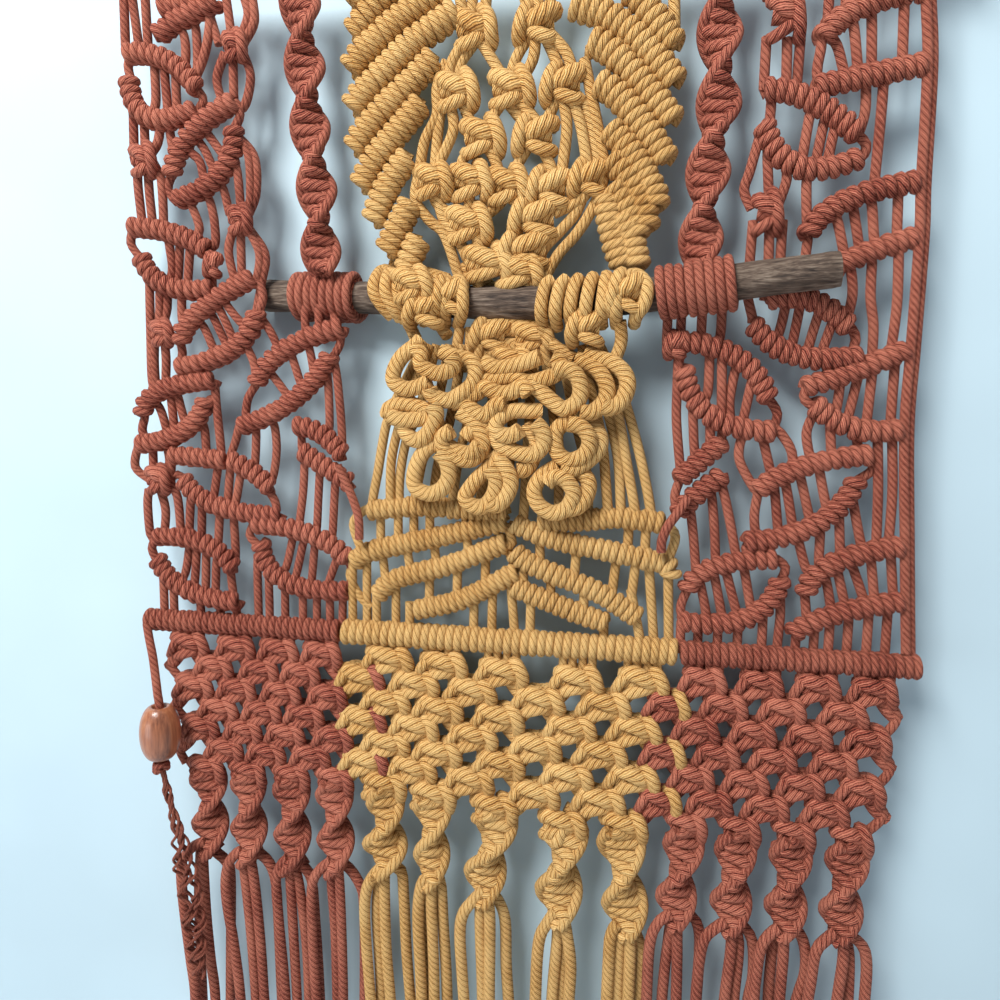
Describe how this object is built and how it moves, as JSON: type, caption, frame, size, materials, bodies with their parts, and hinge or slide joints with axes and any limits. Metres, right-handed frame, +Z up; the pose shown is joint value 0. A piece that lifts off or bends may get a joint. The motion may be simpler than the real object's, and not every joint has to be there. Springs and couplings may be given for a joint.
{
  "type": "macrame wall hanging",
  "caption": "Knotted cord wall hanging: a bird in mustard cord on a wooden perch between rust leaf panels, over a knotted net and long fringe, with a side bead.",
  "frame": {"origin": "middle of the top edge, where the hanging is held", "axes": "+X to the right seen from the front, -Y towards the viewer, +Z up"},
  "size_m": [0.3856, 0.0468, 0.5654],
  "materials": {
    "rust_cord": "matt twisted cord",
    "gold_cord": "matt twisted cord",
    "stick_wood": "weathered bark and bare wood",
    "bead_wood": "polished"
  },
  "bodies": {
    "root": {"heading": "rust_cord", "left_leaves": "rust_cord", "right_leaves": "rust_cord", "bird": "gold_cord", "perch_stick": "stick_wood", "left_coil": "rust_cord", "right_coil": "rust_cord", "left_spiral": "rust_cord", "right_spiral": "rust_cord", "main_bar_left": "rust_cord", "main_bar_gold": "gold_cord", "main_bar_right": "rust_cord", "left_net": "rust_cord", "centre_net": "gold_cord", "right_net": "rust_cord", "sinnet_01": "rust_cord", "sinnet_02": "rust_cord", "sinnet_03": "rust_cord", "sinnet_04": "rust_cord", "sinnet_05": "gold_cord", "sinnet_06": "gold_cord", "sinnet_07": "gold_cord", "sinnet_08": "gold_cord", "sinnet_09": "gold_cord", "sinnet_10": "rust_cord", "sinnet_11": "rust_cord", "sinnet_12": "rust_cord", "sinnet_13": "rust_cord", "bead": "bead_wood", "bead_cord": "rust_cord"}
  },
  "joints": []
}
